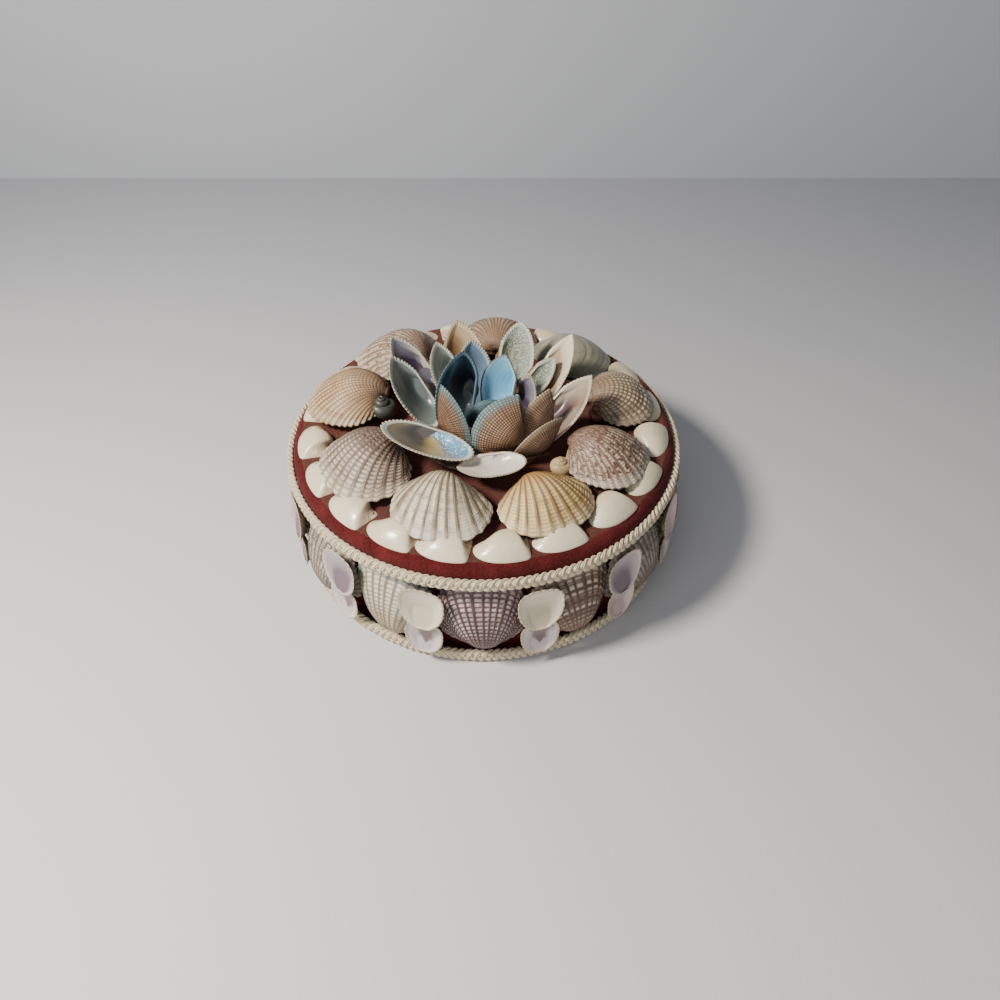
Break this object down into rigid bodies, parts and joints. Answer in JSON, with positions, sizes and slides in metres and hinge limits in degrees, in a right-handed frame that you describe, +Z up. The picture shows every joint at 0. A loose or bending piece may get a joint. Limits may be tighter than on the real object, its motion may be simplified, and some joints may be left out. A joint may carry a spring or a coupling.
{
  "type": "shell box",
  "caption": "Round velvet-covered trinket box with a lift-off lid and plaited trim, dressed with ark shells round the side and on the lid and a flower of open shells on top.",
  "frame": {"origin": "on the table, at the middle of the box's flat underside", "axes": "+Z up out of the table through the lid, the shortest way through the box; -Y is the front, the side that shows one side ark facing the viewer; +X is to the viewer's right"},
  "size_m": [0.138, 0.141, 0.0719],
  "materials": {
    "velvet": "crimson velvet over board",
    "braid": "cream plaited braid",
    "white_shell": "glossy ivory shell",
    "ark_shell": "ribbed satin shell",
    "flower_shell": "shell, polished inside and ribbed outside",
    "snail_shell": "polished shell"
  },
  "bodies": {
    "root": {"box_body": "velvet", "lid": "velvet", "foot_braid": "braid", "lid_braid": "braid", "lid_ark_1": "ark_shell", "lid_ark_2": "ark_shell", "lid_ark_3": "ark_shell", "lid_ark_4": "ark_shell", "lid_ark_5": "ark_shell", "lid_ark_6": "ark_shell", "lid_ark_7": "ark_shell", "lid_ark_8": "ark_shell", "lid_ark_9": "ark_shell", "rim_white_1": "white_shell", "rim_white_2": "white_shell", "rim_white_3": "white_shell", "rim_white_4": "white_shell", "rim_white_5": "white_shell", "rim_white_6": "white_shell", "rim_white_7": "white_shell", "rim_white_8": "white_shell", "rim_white_9": "white_shell", "rim_white_10": "white_shell", "rim_white_11": "white_shell", "petal_front_left_low": "flower_shell", "petal_front_low": "flower_shell", "petal_heart": "flower_shell", "petal_inner_back": "flower_shell", "petal_inner_back_right": "flower_shell", "petal_inner_front": "flower_shell", "petal_inner_front_left": "flower_shell", "petal_inner_front_right": "flower_shell", "petal_inner_left": "flower_shell", "petal_inner_right": "flower_shell", "petal_outer_back_left": "flower_shell", "petal_outer_back_right": "flower_shell", "petal_outer_front_right": "flower_shell", "petal_outer_left": "flower_shell", "petal_outer_left_back": "flower_shell", "petal_outer_right": "flower_shell", "petal_outer_right_back": "flower_shell", "petal_pearl": "flower_shell", "petal_small_back_left": "flower_shell", "snail_1": "snail_shell", "snail_2": "snail_shell", "snail_3": "snail_shell", "side_ark_1": "ark_shell", "side_ark_2": "ark_shell", "side_ark_3": "ark_shell", "side_ark_4": "ark_shell", "side_ark_5": "ark_shell", "side_ark_6": "ark_shell", "side_ark_7": "ark_shell", "side_ark_8": "ark_shell", "side_ark_9": "ark_shell", "side_ark_10": "ark_shell", "side_ark_11": "ark_shell", "side_ark_12": "ark_shell", "side_ark_13": "ark_shell", "side_ark_14": "ark_shell"}
  },
  "joints": []
}
